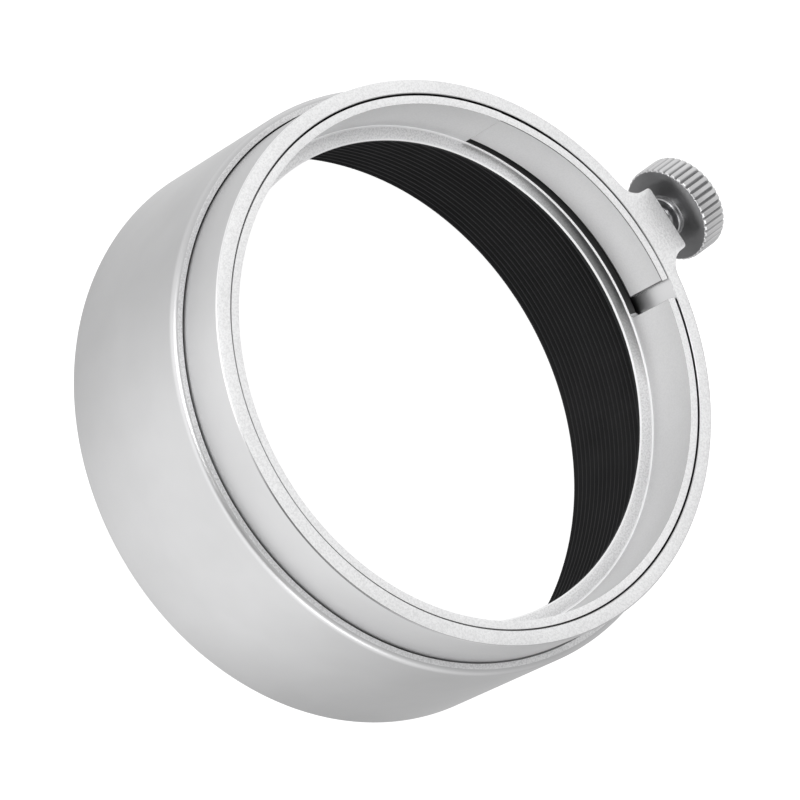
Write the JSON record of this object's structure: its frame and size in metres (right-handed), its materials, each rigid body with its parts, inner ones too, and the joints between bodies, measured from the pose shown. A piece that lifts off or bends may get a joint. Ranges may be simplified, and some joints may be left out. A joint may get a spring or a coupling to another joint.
{
  "type": "lens hood",
  "caption": "Round silver lens hood with a ribbed black inside and a split clamp collar tightened by a knurled thumbscrew.",
  "frame": {"origin": "centre of the lens seat, the flat flange inside the clamp collar, on the optical axis", "axes": "+Z along the optical axis towards the lens it clamps on, +X from the axis through the thumbscrew"},
  "size_m": [0.0455, 0.0412, 0.0191],
  "materials": {
    "barrel_silver": "satin",
    "liner_black": "matt black",
    "ring_silver": "satin, fine blasted end face",
    "sleeve_silver": "satin",
    "tongue_silver": "satin",
    "knob_plated": "plated, straight knurl",
    "stud_steel": "turned",
    "pad_brass": "turned"
  },
  "bodies": {
    "hood": {"hood_barrel": "barrel_silver", "baffle_liner": "liner_black", "mounting_ring": "ring_silver", "clamp_sleeve": "sleeve_silver"},
    "tongue": {"clamp_tongue": "tongue_silver"},
    "pad": {"pressure_pad": "pad_brass"},
    "thumbscrew": {"thumbscrew_knob": "knob_plated", "thumbscrew_stud": "stud_steel"}
  },
  "joints": [
    {"name": "pad_advance", "type": "slide", "parent": "hood", "child": "pad", "axis": [-1, 0, 0], "range_m": [0, 0.0008]},
    {"name": "thumbscrew_turn", "type": "hinge", "parent": "pad", "child": "thumbscrew", "pos_m": [0.02275, 0, 0.0029], "axis": [-1, 0, 0], "range_deg": [0, 720]},
    {"name": "tongue_flex", "type": "hinge", "parent": "hood", "child": "tongue", "pos_m": [0.0135, 0.01198, 0.0026], "axis": [0, 0, -1], "range_deg": [0, 3.9]}
  ],
  "couplings": [
    {"joint": "thumbscrew_turn", "follows": "pad_advance", "rad_per_m": 15708},
    {"joint": "tongue_flex", "follows": "pad_advance", "rad_per_m": 84.195}
  ]
}
